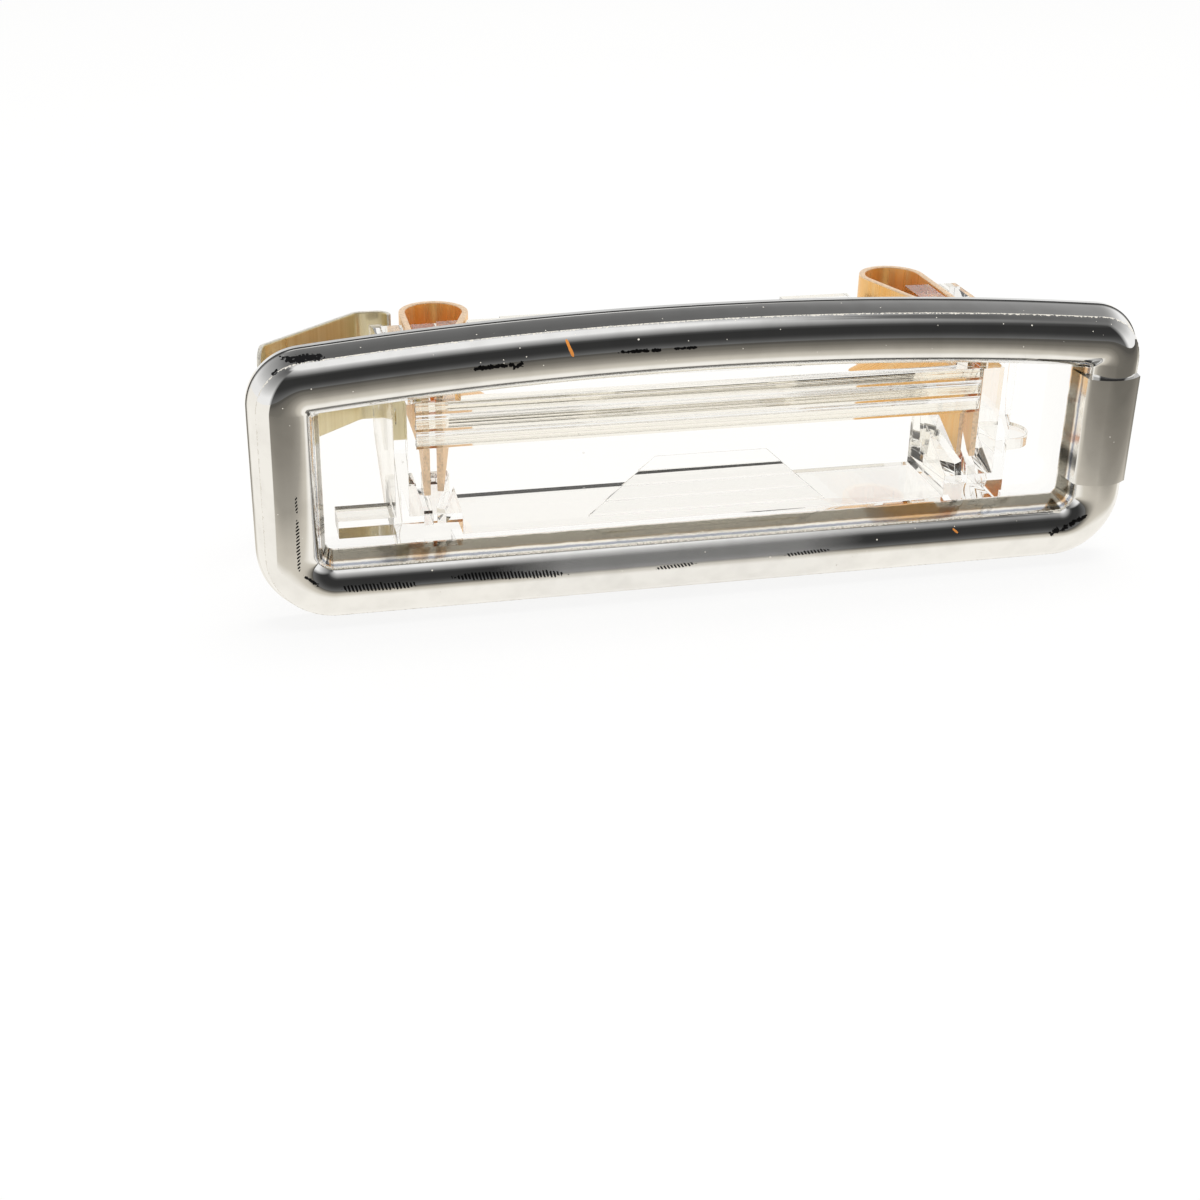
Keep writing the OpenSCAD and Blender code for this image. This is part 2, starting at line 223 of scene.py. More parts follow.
# Marks: a lying oval, turned and sized, is 1 inside, where |x| ^ 5 + z ^ 2 and an edge noise
# stay under the reach. Slanting strokes, a sine along the mark, break it up.
def makeMarkGroup():
    group, nodes, start, end = newGroup("darkDashMark", [
        ("Point", "NodeSocketVector", None), ("Middle", "NodeSocketVector", (0, 0, 0)),
        ("Turn", "NodeSocketVector", (0, 0, 0)), ("Size", "NodeSocketVector", (1, 1, 1)),
        ("Strokes", "NodeSocketFloat", 0.5), ("Ragged", "NodeSocketFloat", 1.0)],
        [("Mask", "NodeSocketFloat")])
    inputs = {"Vector": start["Point"], "Location": start["Middle"],
              "Rotation": start["Turn"], "Scale": start["Size"]}
    own = axes(nodes, addNode(nodes, "ShaderNodeMapping", inputs, vector_type="TEXTURE").outputs[0])
    inputs = {"Vector": start["Point"], "Scale": markShape["edgeNoise"]}
    edge = addNode(nodes, "ShaderNodeTexNoise", inputs).outputs["Fac"]
    xTerm = maths(nodes, "POWER", maths(nodes, "ABSOLUTE", own["X"]), markShape["endPower"])
    zTerm = maths(nodes, "POWER", maths(nodes, "ABSOLUTE", own["Z"]), 2.0)
    whole = maths(nodes, "ADD", xTerm, zTerm)
    uneven = maths(nodes, "SUBTRACT", edge, 0.5)
    ragged = maths(nodes, "MULTIPLY_ADD", uneven, start["Ragged"], whole)
    inside = maths(nodes, "LESS_THAN", ragged, markShape["reach"])
    far = maths(nodes, "MULTIPLY", own["X"], axes(nodes, start["Size"])["X"])
    lean = maths(nodes, "MULTIPLY", own["Z"], markShape["slant"])
    wave = maths(nodes, "SINE", maths(nodes, "MULTIPLY_ADD", far, markShape["strokes"], lean))
    gaps = maths(nodes, "MULTIPLY", wave, maths(nodes, "ADD", zTerm, markShape["spine"]))
    stroke = maths(nodes, "LESS_THAN", gaps, start["Strokes"])
    feed(end["Mask"], maths(nodes, "MULTIPLY", inside, stroke))
    return group


grainGroup = makeGrainGroup()
speckGroup = makeSpeckGroup()
markGroup = makeMarkGroup()

# Lengths in millimetres; the height of the flank is also the height of the crease lines
bezelShape = dict(halfLength=35, halfHeight=10.45, topRise=2, topRadius=4.4, lowRadius=5.8,
                  innerRadius=0.3, barWidth=5.2, flankHeight=2.1, flankIn=0.65, crownRise=1.1,
                  wall=1.1, bridgeLength=8.9, bridgeRise=0.3, bridgeFlat=0.28, notchLength=6,
                  notchHeight=0.9, middle=1.0, creaseLine=0.04, ledgeHeight=0.48, ledgeDepth=0.11,
                  fuller=0.22, soft=0.05, sharpFrom=24)

# Lengths in millimetres. Each place is a mark's middle x and z, half length, half width and
# lean in degrees; strokes says how little the strokes break it up, ragged how uneven its edge is
platingLook = dict(
    colour=(0.88, 0.875, 0.86), hazeColour=(0.70, 0.69, 0.67), haze=0.35,
    roughness=(0.012, 0.07), markRoughness=0.4,
    waviness=0.10, waveDepth=0.2, pits=0.03, pitDepth=0.02,
    dust=(0.80, 0.76, 0.68), creaseScuffAndHighlight=0.05, creaseScuffHighlightRagged=0.3,
    markColour=(0.032, 0.032, 0.034), fibreColour=(0.75, 0.27, 0.04),
    film=dict(middle=-2.5, full=9.5, end=15, below=-5, amount=0.22),
    marks=dict(strokes=0.75, ragged=4.5, places=[
        (-17.4, 9.53, 1.7, 0.18, 2.4), (-15.6, 9.5, 0.5, 0.2, 25), (-6.4, 10.06, 1.7, 0.15, 0.1),
        (-3.1, 10.1, 0.9, 0.12, 0), (-30.8, 10.42, 1.5, 0.16, 5), (-32.8, 9.6, 0.3, 0.08, 40),
        (28.6, -7.35, 0.5, 0.24, 20), (30.2, -6.75, 1.3, 0.2, 27), (-31.2, -6.3, 0.8, 0.13, -40)]),
    combed=dict(strokes=0.1, ragged=2.2, places=[
        (-26.2, -7.25, 2.9, 0.3, -1.2), (-16.3, -7.2, 4.5, 0.3, -2.6), (7.4, -7.35, 1.9, 0.16, 2.2),
        (-3.2, -7.55, 1.7, 0.16, 2.5), (-31.95, -0.1, 0.7, 0.1, 90), (-32.0, -3.4, 2.2, 0.15, 89)]),
    fibres=dict(strokes=2.0, ragged=1.2, places=[
        (-11.76, 10.51, 0.66, 0.13, -68.6), (20.04, -6.66, 0.28, 0.09, -38)]))


# Puts marks of one kind together into one mask.
def placeMarks(nodes, point, marks):
    total = None
    for x, z, halfLong, halfWide, lean in marks["places"]:
        mask = placeGroup(nodes, markGroup, point, Middle=(x * mm, 0, z * mm),
                          Turn=(0, radians(-lean), 0), Size=(halfLong * mm, 1, halfWide * mm),
                          Strokes=marks["strokes"], Ragged=marks["ragged"])["Mask"]
        total = mask if total is None else maths(nodes, "MAXIMUM", total, mask)
    return total


def makePlating():
    material, nodes, shader, point = newMaterial("brightPlating")
    look = platingLook
    grain = placeGroup(nodes, grainGroup, point, Fine=2600.0, Coarse=120.0)
    cloud = placeGroup(nodes, grainGroup, point, Fine=5200.0, Coarse=520.0)
    dust = placeGroup(nodes, speckGroup, point, Density=900.0, Size=0.065, Share=0.1)["Mask"]
    fine = placeGroup(nodes, speckGroup, point, Density=2400.0, Size=0.11, Share=0.08)["Mask"]
    x, y, z = axes(nodes, point)
    # Pale where the distance from a crease line is small: partly real scuffs and chips in the
    # plating, partly a painted highlight along the crease line
    off = maths(nodes, "ABSOLUTE", maths(nodes, "ADD", y, bezelShape["flankHeight"] * mm))
    ragged = maths(nodes, "MULTIPLY_ADD", cloud["Fine Grain"], -look["creaseScuffHighlightRagged"] * mm, off)
    creaseScuffAndHighlight = maths(nodes, "LESS_THAN", ragged, (look["creaseScuffAndHighlight"] - look["creaseScuffHighlightRagged"] / 2) * mm)
    pale = maths(nodes, "MAXIMUM", creaseScuffAndHighlight, maths(nodes, "MAXIMUM", dust, fine))
    # Near-black marks and comb-like dashes at the listed places
    dark = maths(nodes, "MAXIMUM", placeMarks(nodes, point, look["marks"]),
                 placeMarks(nodes, point, look["combed"]))
    fibre = placeMarks(nodes, point, look["fibres"])
    haze = ramp(nodes, cloud["Broad Cloud"], [(0.42, 0.0), (0.72, 1.0)])
    haze = maths(nodes, "MULTIPLY", haze, look["haze"])
    colour = mix(nodes, haze, look["colour"], look["hazeColour"])
    # The dust colour also covers the crease line, where it is partly a painted highlight
    for mask, over in ((pale, "dust"), (dark, "markColour"), (fibre, "fibreColour")):
        colour = mix(nodes, mask, colour, look[over])
    feed(shader.inputs["Base Color"], colour)
    # A faint film on the lower bar: full round its middle, then fading towards its ends
    film, half = look["film"], bezelShape["halfLength"]
    aside = maths(nodes, "ABSOLUTE", maths(nodes, "SUBTRACT", x, film["middle"] * mm))
    share = maths(nodes, "MULTIPLY", aside, 1 / (half * mm))
    fade = ramp(nodes, share, [(film["full"] / half, 1.0), (film["end"] / half, 0.0)])
    low = maths(nodes, "LESS_THAN", z, film["below"] * mm)
    filmed = maths(nodes, "MULTIPLY", maths(nodes, "MULTIPLY", fade, low), film["amount"])
    covered = maths(nodes, "MAXIMUM", pale, fibre)
    dulled = maths(nodes, "MAXIMUM", covered, filmed)
    feed(shader.inputs["Metallic"], maths(nodes, "SUBTRACT", 1.0, dulled))
    smooth, dull = look["roughness"]
    rough = ramp(nodes, cloud["Broad Cloud"], [(0.35, smooth), (0.75, dull)])
    markedAreas = maths(nodes, "MAXIMUM", covered, dark)
    rough = maths(nodes, "MULTIPLY_ADD", markedAreas, look["markRoughness"], rough)
    feed(shader.inputs["Roughness"], rough)
    normal = bump(nodes, grain["Broad Cloud"], look["waviness"], look["waveDepth"])
    normal = bump(nodes, grain["Fine Grain"], look["pits"], look["pitDepth"], normal)
    feed(shader.inputs["Normal"], normal)
    return material


# Bands are (share of the depth, colour); the depth is in millimetres. The bands are painted
# reflections: white highlight lines, a blue-grey band and a dark brown mirrored band
paintedFlankLook = dict(bands=[(0.0, (0.98, 0.97, 0.93)), (0.10, (0.95, 0.94, 0.92)),
                        (0.16, (0.42, 0.45, 0.52)), (0.24, (0.50, 0.53, 0.60)),
                        (0.28, (0.98, 0.97, 0.95)), (0.36, (0.95, 0.90, 0.82)),
                        (0.40, (0.40, 0.33, 0.25)), (0.48, (0.30, 0.28, 0.235)),
                        (0.92, (0.34, 0.32, 0.27)), (0.96, (0.95, 0.92, 0.88))],
                 depth=2.2, ragged=0.10, roughness=(0.05, 0.22), grain=0.15, grainDepth=0.03)


# Inner flank of the bezel: painted reflection and highlight bands over its depth, whose edges two
# noises make uneven.
def makePaintedFlank():
    material, nodes, shader, point = newMaterial("flankPaintedReflections")
    look = paintedFlankLook
    grain = placeGroup(nodes, grainGroup, point, Fine=2600.0, Coarse=420.0)
    level = maths(nodes, "MULTIPLY_ADD", axes(nodes, point)["Y"], 1 / (look["depth"] * mm), 1.0)
    for label, amount in (("Broad Cloud", look["ragged"]), ("Fine Grain", look["ragged"] / 2)):
        uneven = maths(nodes, "SUBTRACT", grain[label], 0.5)
        level = maths(nodes, "MULTIPLY_ADD", uneven, amount, level)
    feed(shader.inputs["Base Color"], ramp(nodes, level, look["bands"]))
    smooth, dull = look["roughness"]
    rough = ramp(nodes, grain["Broad Cloud"], [(0.3, smooth), (0.7, dull)])
    feed(shader.inputs["Roughness"], rough)
    feed(shader.inputs["Metallic"], 1)
    normal = bump(nodes, grain["Fine Grain"], look["grain"], look["grainDepth"])
    feed(shader.inputs["Normal"], normal)
    return material


clearLook = dict(tint=(0.998, 0.991, 0.970), prismTint=(0.95, 0.90, 0.78), speck=(0.80, 0.78, 0.74),
                 shadow=(0.97, 0.95, 0.91), ior=1.45, roughness=(0.0, 0.03), speckRoughness=0.3,
                 flow=0.05, flowDepth=0.2, striae=0.35, striaeDepth=0.06, striaeStretch=0.0005,
                 prismFrom=1.22, prismTo=2.0, prismFoot=1.95)


# Clear plastic with slight flow waves, and cutter lines drawn out along X on the prisms' backs.
def makeClear():
    material, nodes, shader, point = newMaterial("clearPlastic")
    look = clearLook
    grain = placeGroup(nodes, grainGroup, point, Fine=900.0, Coarse=90.0)
    specks = placeGroup(nodes, speckGroup, point, Density=500.0, Size=0.05, Share=0.12)["Mask"]
    lines = placeGroup(nodes, grainGroup, point, Fine=2600.0, Coarse=900.0,
                       Stretch=(look["striaeStretch"], 1, 1))
    smooth, dull = look["roughness"]
    rough = ramp(nodes, grain["Fine Grain"], [(0.5, smooth), (0.8, dull)])
    rough = maths(nodes, "MULTIPLY_ADD", specks, look["speckRoughness"], rough)
    feed(shader.inputs["Roughness"], rough)
    place = axes(nodes, point)
    onPrism = maths(nodes, "GREATER_THAN", place["Z"], look["prismFoot"] * mm)
    for operation, depth in (("GREATER_THAN", "prismFrom"), ("LESS_THAN", "prismTo")):
        within = maths(nodes, operation, place["Y"], look[depth] * mm)
        onPrism = maths(nodes, "MULTIPLY", onPrism, within)
    # The plastic is thicker in the prisms, so that it looks creamier there than in the pane
    colour = mix(nodes, specks, look["tint"], look["speck"])
    feed(shader.inputs["Base Color"], mix(nodes, onPrism, colour, look["prismTint"]))
    both = maths(nodes, "ADD", lines["Fine Grain"], lines["Broad Cloud"])
    cut = maths(nodes, "MULTIPLY", both, onPrism)
    flow = bump(nodes, grain["Broad Cloud"], look["flow"], look["flowDepth"])
    feed(shader.inputs["Normal"], bump(nodes, cut, look["striae"], look["striaeDepth"], flow))
    feed(shader.inputs["IOR"], look["ior"])
    feed(shader.inputs["Transmission Weight"], 1)
    # Light passes to what stands inside and behind, as through real clear plastic
    shadow = addNode(nodes, "ShaderNodeLightPath").outputs["Is Shadow Ray"]
    passing = addNode(nodes, "ShaderNodeBsdfTransparent", {"Color": look["shadow"]}).outputs[0]
    blend = mixShaders(nodes, shadow, shader.outputs[0], passing)
    feed(nodes["Material Output"].inputs["Surface"], blend)
    return material


# The copper's pale colour is a painted highlight: the pale vertical streak inside the loops
copperLook = dict(dark=(0.96, 0.50, 0.13), pale=(1.0, 0.66, 0.30), cut=(1.0, 0.74, 0.50),
                  roughness=(0.20, 0.38), metal=0.6, streaks=2200.0, stretch=0.02)
clipLook = dict(dark=(0.76, 0.63, 0.34), pale=(0.98, 0.88, 0.60), cut=(0.88, 0.84, 0.74),
                roughness=(0.25, 0.45), metal=0.75, streaks=2600.0, stretch=0.03)
streakLook = dict(fineShare=0.45, broadShare=0.55, broader=7, depth=0.03, strength=0.25)


# Strip: streaks drawn out along Z tint the metal between its dark and pale colour. On the clip they
# are its brushing; on the copper the pale streaks are painted highlight streaks.
def makeStrip(name, look):
    material, nodes, shader, point = newMaterial(name)
    fine, coarse = look["streaks"], look["streaks"] / streakLook["broader"]
    grain = placeGroup(nodes, grainGroup, point, Fine=fine, Coarse=coarse,
                       Stretch=(1, 1, look["stretch"]))
    both = maths(nodes, "MULTIPLY", grain["Broad Cloud"], streakLook["broadShare"])
    both = maths(nodes, "MULTIPLY_ADD", grain["Fine Grain"], streakLook["fineShare"], both)
    smooth, dull = look["roughness"]
    tint = ramp(nodes, both, [(0.36, look["dark"]), (0.66, look["pale"])])
    feed(shader.inputs["Base Color"], tint)
    feed(shader.inputs["Roughness"], ramp(nodes, both, [(0.3, smooth), (0.7, dull)]))
    feed(shader.inputs["Normal"], bump(nodes, both, streakLook["strength"], streakLook["depth"]))
    feed(shader.inputs["Metallic"], look["metal"])
    return material


cutLook = dict(darker=0.72, roughness=(0.3, 0.5), metal=0.5)


# Sheared edge of a strip: paler, with a fine torn grain.
def makeCutEdge(name, colour):
    material, nodes, shader, point = newMaterial(name)
    grain = placeGroup(nodes, grainGroup, point, Fine=5000.0, Coarse=900.0)
    dark = tuple(cutLook["darker"] * c for c in colour)
    smooth, dull = cutLook["roughness"]
    tint = ramp(nodes, grain["Fine Grain"], [(0.3, dark), (0.6, colour)])
    rough = ramp(nodes, grain["Broad Cloud"], [(0.3, smooth), (0.7, dull)])
    feed(shader.inputs["Base Color"], tint)
    feed(shader.inputs["Roughness"], rough)
    feed(shader.inputs["Metallic"], cutLook["metal"])
    return material


plating = makePlating()
flankPaintedReflections = makePaintedFlank()
clearPlastic = makeClear()
copper = makeStrip("copperStrip", copperLook)
copperCut = makeCutEdge("copperCut", copperLook["cut"])
clipMetal = makeStrip("clipMetal", clipLook)
clipCut = makeCutEdge("clipCut", clipLook["cut"])
print("number plate lamp: materials made")


# Section of the bar as (inset, height) points: the outer flank, set in above a small ledge and
# a little hollow, a raised crease line, an arc for the crown, the straight inner flank, the lip
# and the hollow back, closed on itself.
def bezelProfile(lift, lean, flat):
    b = bezelShape
    shoulder, rise = b["flankHeight"] + lift + flat, b["crownRise"] - flat
    chord = b["barWidth"] - b["flankIn"] - lean
    radius = (chord ** 2 / 4 + rise ** 2) / (2 * rise)
    half = np.arcsin(chord / 2 / radius)
    turn = np.linspace(-half, half, 30)
    crown = np.c_[b["flankIn"] + chord / 2 + radius * np.sin(turn),
                  shoulder + rise - radius + radius * np.cos(turn)]
    ledge, deep = b["ledgeHeight"], b["ledgeDepth"]
    slope = (b["flankIn"] - deep) / (shoulder - ledge)
    rises = np.r_[0, ledge + np.array([-0.03, 0, 0.02, 0.05]),
                  shoulder * np.array([0.5, 0.75, 0.97])]
    insets = np.where(rises < ledge, 0.02 * rises, deep + slope * (rises - ledge))
    s = np.clip((rises - ledge) / (shoulder - ledge), 0, 1)
    outer = np.c_[insets - b["fuller"] * s * (1 - s) ** 2, rises]
    t = np.array([0, 0.06, 0.3, 0.6, 0.9, 0.97])[:, None]
    inner = [[b["barWidth"], 0]] + t * [[-lean, shoulder]]
    line, soft = b["creaseLine"], b["soft"]
    crease = [[b["flankIn"] - line, shoulder - line], [b["flankIn"] - line, shoulder + line / 2]]
    lipEdge, draft = b["barWidth"] - b["wall"], 0.6 * b["flankIn"]
    depth = b["flankHeight"] - b["wall"] / 4
    back = [[lipEdge + soft, 0], [lipEdge, soft],
            [lipEdge - draft, depth - 2 * soft], [lipEdge - draft - 2 * soft, depth],
            [b["wall"] + draft + 2 * soft, depth], [b["wall"] + draft, depth - 2 * soft],
            [b["wall"], soft], [b["wall"] - soft, 0]]
    return np.vstack([outer, crease, crown[1:-1], inner[::-1], back]), len(inner), len(back)


# Places (inset, height) beside the outline: part says which run or corner a column is on and
# t how far along it; corners are arcs whose radius is the outer one less the inset.
def bezelRing(inset, height, part, t):
    b = bezelShape
    archR = (b["halfLength"] ** 2 + b["topRise"] ** 2) / (2 * b["topRise"])
    archZ = b["halfHeight"] + b["topRise"] - archR
    half, bigR = b["halfLength"] - inset, archR - inset
    lowR = np.maximum(b["lowRadius"] - inset, b["innerRadius"])
    topR = np.maximum(b["topRadius"] - inset, b["innerRadius"])
    lowX, lowZ = half - lowR, inset - b["halfHeight"] + lowR
    topX = half - topR
    topZ = archZ + np.sqrt((bigR - topR) ** 2 - topX ** 2)
    lean = np.arcsin(topX / (bigR - topR))
    quarter = pi / 2
    sideZ = np.clip(t, lowZ + 0.02, topZ - 0.02)
    cornerLow, cornerTop = (t - 1) * quarter, t * (quarter - lean)
    archTurn = lean * (1 - 2 * t)
    places = [
        (-lowX + 2 * lowX * t, lowZ - lowR),
        (lowX + lowR * np.cos(cornerLow), lowZ + lowR * np.sin(cornerLow)),
        (half, sideZ),
        (topX + topR * np.cos(cornerTop), topZ + topR * np.sin(cornerTop)),
        (bigR * np.sin(archTurn), archZ + bigR * np.cos(archTurn)),
        (-topX - topR * np.sin(lean + cornerTop), topZ + topR * np.cos(lean + cornerTop)),
        (-half, sideZ),
        (-lowX - lowR * np.cos(t * quarter), lowZ - lowR * np.sin(t * quarter))]
    x, z = np.zeros_like(inset), np.zeros_like(inset)
    for i, (px, pz) in enumerate(places):
        on = part == i
        x, z = np.where(on, px, x), np.where(on, pz, z)
    return np.stack([x, -height, z], -1)


# The ring: the section carried round the outline, in eight runs and corners from the lower
# one on. On the right it changes to the bridge's higher section and opens for the notch.
def makeBezel():
    b = bezelShape
    step, notch, middle = b["soft"], b["notchLength"] / 2, b["middle"]
    low, high = middle - b["bridgeLength"] / 2, middle + b["bridgeLength"] / 2
    rightSide = np.sort(np.r_[low - step, low, low + 0.3, high - 0.3, high, high + step,
                              middle - notch - step, middle - notch,
                              middle + notch, middle + notch + step,
                              -4.62, -4.2, 0, 1, 2, 5.6, 6])
    leftSide = np.linspace(6, -4.6, 14)
    runs = [np.arange(count) / max(count, 1) for count in (60, 22, 0, 20, 110, 20, 0, 22)]
    runs[2], runs[6] = rightSide, leftSide
    part = np.repeat(np.arange(len(runs)), [len(run) for run in runs])[None, :]
    along = np.concatenate(runs)[None, :]
    plain, innerCount, backCount = bezelProfile(0, b["flankIn"], 0)
    raised = bezelProfile(b["bridgeRise"], b["flankIn"] / 4, b["bridgeFlat"])[0]
    onBridge = ((part == 2) & (along >= low) & (along <= high)).astype(float)
    inset = plain[:, :1] + onBridge * (raised - plain)[:, :1]
    height = plain[:, 1:] + onBridge * (raised - plain)[:, 1:]
    onNotch = (part == 2) & (abs(along - middle) <= notch)
    cutWall = onNotch & (inset < b["wall"] + 0.3) & (height < b["notchHeight"])
    height = np.where(cutWall, b["notchHeight"], height)
    cutInset = b["flankIn"] * b["notchHeight"] / b["flankHeight"]
    inset = np.where(cutWall & (inset < 0.5), cutInset, inset)
    points = bezelRing(inset, height, part, along).reshape(-1, 3)
    faces = outward(points, gridFaces(*inset.shape, True, True))
    # The inner flank, between the crown and the lip, takes the painted reflection bands
    row = np.repeat(np.arange(inset.shape[0]), inset.shape[1])
    lip = inset.shape[0] - backCount
    paintedBandFaces = (row >= lip - innerCount) & (row < lip)
    piece = meshPiece("bezelShell", points, faces.tolist(), [plating, flankPaintedReflections],
                      b["sharpFrom"], paintedBandFaces)
    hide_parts("bezel")


makeBezel()
print("number plate lamp: bezel made")

# Lengths in millimetres, angles in degrees
housingShape = dict(edge=0.09, segments=2, joined=0.002, flat=1.0, bevelFrom=28, sharpFrom=40)


# The clear moulding: the solid's own faces, joined up, with every edge softened a little.
def makeHousing():
    h = housingShape
    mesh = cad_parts["lens_housing"].data.copy()
    mesh.name = "clearMoulding"
    mesh.materials.clear()
    mesh.materials.append(clearPlastic)
    work = bmesh.new()
    work.from_mesh(mesh)
    bmesh.ops.remove_doubles(work, verts=work.verts, dist=h["joined"] * mm)
    bmesh.ops.dissolve_limit(work, angle_limit=radians(h["flat"]),
                             verts=work.verts, edges=work.edges)
    work.to_mesh(mesh)
    work.free()
    if mesh.has_custom_normals:
        mesh.attributes.remove(mesh.attributes["custom_normal"])
    piece = addPiece("clearMoulding", mesh, h["sharpFrom"])
    soften = piece.modifiers.new("soften", "BEVEL")
    soften.width = h["edge"] * mm
    soften.segments = h["segments"]
    soften.limit_method = "ANGLE"
    soften.angle_limit = radians(h["bevelFrom"])
    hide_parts("lens_housing")


makeHousing()
print("number plate lamp: clear housing made")


# Centre line of a strip: runs and bends (run, turn in degrees, radius), one after another.
# A bend is an arc about the point one radius to the side of the line.
def stripPath(start, heading, steps, spacing=0.12):
    points, at, direction = [np.array([start], float)], np.array(start, float), radians(heading)
    for run, turn, radius in steps:
        if run:
            count = max(int(run / spacing / 4), 3)
            t = np.linspace(0, run, count + 1)[1:, None]
            points.append(at + t * [[np.cos(direction), np.sin(direction)]])
            at = points[-1][-1]
        if turn:
            side = np.sign(turn)
            centre = at + side * radius * np.array([-np.sin(direction), np.cos(direction)])
            count = max(int(abs(radians(turn)) * radius / spacing), 8)
            a = direction - side * pi / 2 + np.linspace(0, radians(turn), count + 1)[1:]
            points.append(centre + radius * np.c_[np.cos(a), np.sin(a)])
            at = points[-1][-1]
            direction += radians(turn)
    return np.vstack(points)


# Unit normals of the centre line, from its central differences.
def stripSides(path):
    along = np.gradient(path, axis=0)
    along /= np.linalg.norm(along, axis=1)[:, None]
    return np.c_[-along[:, 1], along[:, 0]]


# The posts' heights are given above the box's top, the contacts' above their posts
contactShape = dict(thickness=0.5, loopRadius=2.55, legLength=13.2, innerShorter=0.5, legIn=2.55,
                    loopTurn=198, legLean=0.4, frontY=2.1, low=0.5, tip=2.2, tipFrom=0.2,
                    tipSlope=1.1, boxHalf=24.85, boxMiddle=0.55, boxTop=7.75, postLeft=0.15,
                    postRight=1.25, proud=0.15, edge=0.07, sharpFrom=40)


# A strip carried along its centre line: the section is a rounded rectangle whose lower end
# rises from the tip at the front to the looped part. Side is -1 on the left and 1 on the right.
def makeContact(name, node, side, post):
    c = contactShape
    legX, top = c["boxHalf"] - c["legIn"], c["boxTop"] + post + c["proud"]
    path = stripPath((legX, c["frontY"]), 90 + c["legLean"],
                     [(c["legLength"], c["loopTurn"], c["loopRadius"]),
                      (c["legLength"] - c["innerShorter"], 0, 0)])
    sides = stripSides(path)
    tipY = c["frontY"] + c["tipFrom"]
    low = np.interp(path[:, 1], [tipY, tipY + (c["low"] + c["tip"]) / c["tipSlope"]],
                    [-c["tip"], c["low"]])
    # Four rounded corners of four points each: lower right, upper right, upper left, lower left
    e, half = c["edge"], c["thickness"] / 2
    turn = np.linspace(0, pi / 2, 4)
    sine, cosine = e * np.sin(turn), e * np.cos(turn)
    across = np.r_[half - e + sine, half - e + cosine, e - half - sine, e - half - cosine]
    rise = np.r_[e - cosine, -e + sine, -e + cosine, e - sine]
    upper = np.r_[np.zeros(4), np.ones(8), np.zeros(4)]
    x = path[:, 0][:, None] + across[None, :] * sides[:, :1]
    y = path[:, 1][:, None] + across[None, :] * sides[:, 1:]
    z = low[:, None] * (1 - upper) + top * upper + rise[None, :]
    points = np.stack([c["boxMiddle"] + side * x, y, z], -1).reshape(-1, 3)
    rows, columns = x.shape
    faces = gridFaces(rows, columns, False, True)
    turned = outward(points, faces)
    order = -1 if (turned[0] == faces[0]).all() else 1
    firstEnd, lastEnd = np.arange(columns), (rows - 1) * columns + np.arange(columns)[::-1]
    ends = [firstEnd[::order].tolist(), lastEnd[::order].tolist()]
    # Columns 3 and 11 are the strip's broad faces; all the rest is sheared edge
    cut = np.r_[~np.isin(np.tile(np.arange(columns), rows - 1), [3, 11]), [True, True]]
    piece = meshPiece(name, points, turned.tolist() + ends, [copper, copperCut],
                      c["sharpFrom"], cut)
    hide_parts(node)


makeContact("leftContactStrip", "left_contact", -1, contactShape["postLeft"])
makeContact("rightContactStrip", "right_contact", 1, contactShape["postRight"])
print("number plate lamp: contacts made")

clipShape = dict(thickness=0.3, legLength=6.3, legLean=4, legHeight=5.2, height=9, low=-1.2,
                 bend=1.0, over=1.2, armTurn=42, armBend=1.0, arm=10, lipTurn=31, lipBend=0.6,
                 lip=1.2, corner=1.1, wall=1, fit=0.05, frontY=9.5, holeY=12, holeZ=2,
                 holeRadius=0.8, cell=0.12, armPoints=160, upperPoints=30, rimReach=0.75,
                 spacing=0.03, sharpFrom=40)


